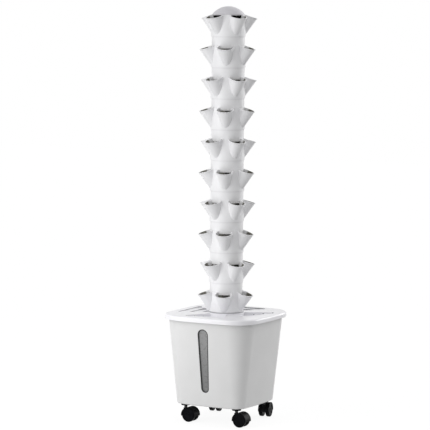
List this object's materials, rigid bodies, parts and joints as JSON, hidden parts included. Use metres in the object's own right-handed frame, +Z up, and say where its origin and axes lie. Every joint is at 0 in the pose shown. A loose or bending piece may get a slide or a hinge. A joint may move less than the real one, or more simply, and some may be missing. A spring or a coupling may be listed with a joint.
{
  "type": "hydroponic tower",
  "caption": "Stacking hydroponic planter tower: pocketed planter tiers under a domed cap, on a lidded water tub with a level window, pump and casters.",
  "frame": {"origin": "On the floor, under the tower's axis.", "axes": "+Z is up along the tower. The tub's level window faces -Y."},
  "size_m": [0.375, 0.375, 1.4878],
  "materials": {
    "planter_plastic": "smooth moulded white, satin",
    "cap_plastic": "smooth pale lavender grey, satin",
    "lid_plastic": "glossy white with a cool tint",
    "tub_plastic": "smooth moulded light grey white",
    "window_plastic": "smoky translucent strip",
    "rubber": "soft dark grey rubber",
    "black_plastic": "black moulded",
    "pump_plastic": "black moulded",
    "impeller_plastic": "white moulded",
    "pipe_plastic": "extruded white pipe",
    "caster_plastic": "glossy black nylon",
    "wheel_plastic": "satin black nylon",
    "caster_steel": "black painted steel",
    "steel": "plain bright steel"
  },
  "bodies": {
    "tub": {"tub": "tub_plastic", "level_window": "window_plastic", "window_gasket": "rubber", "caster_screws": "steel", "pump_housing": "pump_plastic", "pump_cover": "pump_plastic", "pump_outlet": "pump_plastic", "pump_shaft": "steel", "pump_feet": "rubber", "pump_cord_gland": "rubber", "riser_lower": "pipe_plastic", "riser_middle": "pipe_plastic", "riser_upper": "pipe_plastic", "riser_couplings": "pipe_plastic", "caster_flange_front_left": "caster_plastic", "caster_flange_front_right": "caster_plastic", "caster_flange_rear_left": "caster_plastic", "caster_flange_rear_right": "caster_plastic"},
    "lid": {"lid": "lid_plastic", "cord_grommet": "rubber"},
    "top_cap": {"top_cap": "cap_plastic"},
    "pump_impeller": {"pump_impeller": "impeller_plastic"},
    "pump_flow_knob": {"pump_flow_knob": "pump_plastic"},
    "planter_01": {"planter_01": "planter_plastic", "diffuser": "black_plastic"},
    "planter_02": {"planter_02": "planter_plastic"},
    "planter_03": {"planter_03": "planter_plastic"},
    "planter_04": {"planter_04": "planter_plastic"},
    "planter_05": {"planter_05": "planter_plastic"},
    "planter_06": {"planter_06": "planter_plastic"},
    "planter_07": {"planter_07": "planter_plastic"},
    "planter_08": {"planter_08": "planter_plastic"},
    "planter_09": {"planter_09": "planter_plastic"},
    "planter_10": {"planter_10": "planter_plastic"},
    "caster_front_left": {"caster_stem_front_left": "caster_steel", "caster_hood_front_left": "caster_plastic", "caster_axle_front_left": "steel"},
    "caster_wheel_front_left_a": {"caster_wheel_front_left_a": "wheel_plastic"},
    "caster_wheel_front_left_b": {"caster_wheel_front_left_b": "wheel_plastic"},
    "caster_front_right": {"caster_stem_front_right": "caster_steel", "caster_hood_front_right": "caster_plastic", "caster_axle_front_right": "steel"},
    "caster_wheel_front_right_a": {"caster_wheel_front_right_a": "wheel_plastic"},
    "caster_wheel_front_right_b": {"caster_wheel_front_right_b": "wheel_plastic"},
    "caster_rear_left": {"caster_stem_rear_left": "caster_steel", "caster_hood_rear_left": "caster_plastic", "caster_axle_rear_left": "steel"},
    "caster_wheel_rear_left_a": {"caster_wheel_rear_left_a": "wheel_plastic"},
    "caster_wheel_rear_left_b": {"caster_wheel_rear_left_b": "wheel_plastic"},
    "caster_rear_right": {"caster_stem_rear_right": "caster_steel", "caster_hood_rear_right": "caster_plastic", "caster_axle_rear_right": "steel"},
    "caster_wheel_rear_right_a": {"caster_wheel_rear_right_a": "wheel_plastic"},
    "caster_wheel_rear_right_b": {"caster_wheel_rear_right_b": "wheel_plastic"}
  },
  "joints": [
    {"name": "lid_lift", "type": "slide", "parent": "tub", "child": "lid", "axis": [0, 0, 1], "range_m": [0, 0.08]},
    {"name": "planter_10_lift", "type": "slide", "parent": "lid", "child": "planter_10", "axis": [0, 0, 1], "range_m": [0, 0.06]},
    {"name": "planter_09_lift", "type": "slide", "parent": "planter_10", "child": "planter_09", "axis": [0, 0, 1], "range_m": [0, 0.02]},
    {"name": "planter_08_lift", "type": "slide", "parent": "planter_09", "child": "planter_08", "axis": [0, 0, 1], "range_m": [0, 0.02]},
    {"name": "planter_07_lift", "type": "slide", "parent": "planter_08", "child": "planter_07", "axis": [0, 0, 1], "range_m": [0, 0.02]},
    {"name": "planter_06_lift", "type": "slide", "parent": "planter_07", "child": "planter_06", "axis": [0, 0, 1], "range_m": [0, 0.02]},
    {"name": "planter_05_lift", "type": "slide", "parent": "planter_06", "child": "planter_05", "axis": [0, 0, 1], "range_m": [0, 0.02]},
    {"name": "planter_04_lift", "type": "slide", "parent": "planter_05", "child": "planter_04", "axis": [0, 0, 1], "range_m": [0, 0.02]},
    {"name": "planter_03_lift", "type": "slide", "parent": "planter_04", "child": "planter_03", "axis": [0, 0, 1], "range_m": [0, 0.02]},
    {"name": "planter_02_lift", "type": "slide", "parent": "planter_03", "child": "planter_02", "axis": [0, 0, 1], "range_m": [0, 0.02]},
    {"name": "planter_01_lift", "type": "slide", "parent": "planter_02", "child": "planter_01", "axis": [0, 0, 1], "range_m": [0, 0.02]},
    {"name": "cap_lift", "type": "slide", "parent": "planter_01", "child": "top_cap", "axis": [0, 0, 1], "range_m": [0, 0.04]},
    {"name": "pump_impeller_spin", "type": "hinge", "parent": "tub", "child": "pump_impeller", "pos_m": [0, 0, 0.099], "axis": [0, 1, 0], "continuous": true},
    {"name": "pump_flow_turn", "type": "hinge", "parent": "tub", "child": "pump_flow_knob", "pos_m": [0, -0.024, 0.099], "axis": [0, 1, 0], "range_deg": [0, 90]},
    {"name": "caster_front_left_swivel", "type": "hinge", "parent": "tub", "child": "caster_front_left", "pos_m": [-0.104, -0.104, 0.05], "axis": [0, 0, 1], "continuous": true},
    {"name": "caster_wheel_front_left_a_roll", "type": "hinge", "parent": "caster_front_left", "child": "caster_wheel_front_left_a", "pos_m": [-0.0845, -0.104, 0.025], "axis": [0, 1, 0], "continuous": true},
    {"name": "caster_wheel_front_left_b_roll", "type": "hinge", "parent": "caster_front_left", "child": "caster_wheel_front_left_b", "pos_m": [-0.0845, -0.104, 0.025], "axis": [0, 1, 0], "continuous": true},
    {"name": "caster_front_right_swivel", "type": "hinge", "parent": "tub", "child": "caster_front_right", "pos_m": [0.104, -0.104, 0.05], "axis": [0, 0, 1], "continuous": true},
    {"name": "caster_wheel_front_right_a_roll", "type": "hinge", "parent": "caster_front_right", "child": "caster_wheel_front_right_a", "pos_m": [0.1235, -0.104, 0.025], "axis": [0, 1, 0], "continuous": true},
    {"name": "caster_wheel_front_right_b_roll", "type": "hinge", "parent": "caster_front_right", "child": "caster_wheel_front_right_b", "pos_m": [0.1235, -0.104, 0.025], "axis": [0, 1, 0], "continuous": true},
    {"name": "caster_rear_left_swivel", "type": "hinge", "parent": "tub", "child": "caster_rear_left", "pos_m": [-0.104, 0.104, 0.05], "axis": [0, 0, 1], "continuous": true},
    {"name": "caster_wheel_rear_left_a_roll", "type": "hinge", "parent": "caster_rear_left", "child": "caster_wheel_rear_left_a", "pos_m": [-0.10739, 0.1232, 0.025], "axis": [-0.9848, -0.1736, 0], "continuous": true},
    {"name": "caster_wheel_rear_left_b_roll", "type": "hinge", "parent": "caster_rear_left", "child": "caster_wheel_rear_left_b", "pos_m": [-0.10739, 0.1232, 0.025], "axis": [-0.9848, -0.1736, 0], "continuous": true},
    {"name": "caster_rear_right_swivel", "type": "hinge", "parent": "tub", "child": "caster_rear_right", "pos_m": [0.104, 0.104, 0.05], "axis": [0, 0, 1], "continuous": true},
    {"name": "caster_wheel_rear_right_a_roll", "type": "hinge", "parent": "caster_rear_right", "child": "caster_wheel_rear_right_a", "pos_m": [0.10061, 0.1232, 0.025], "axis": [-0.9848, -0.1736, 0], "continuous": true},
    {"name": "caster_wheel_rear_right_b_roll", "type": "hinge", "parent": "caster_rear_right", "child": "caster_wheel_rear_right_b", "pos_m": [0.10061, 0.1232, 0.025], "axis": [-0.9848, -0.1736, 0], "continuous": true}
  ]
}
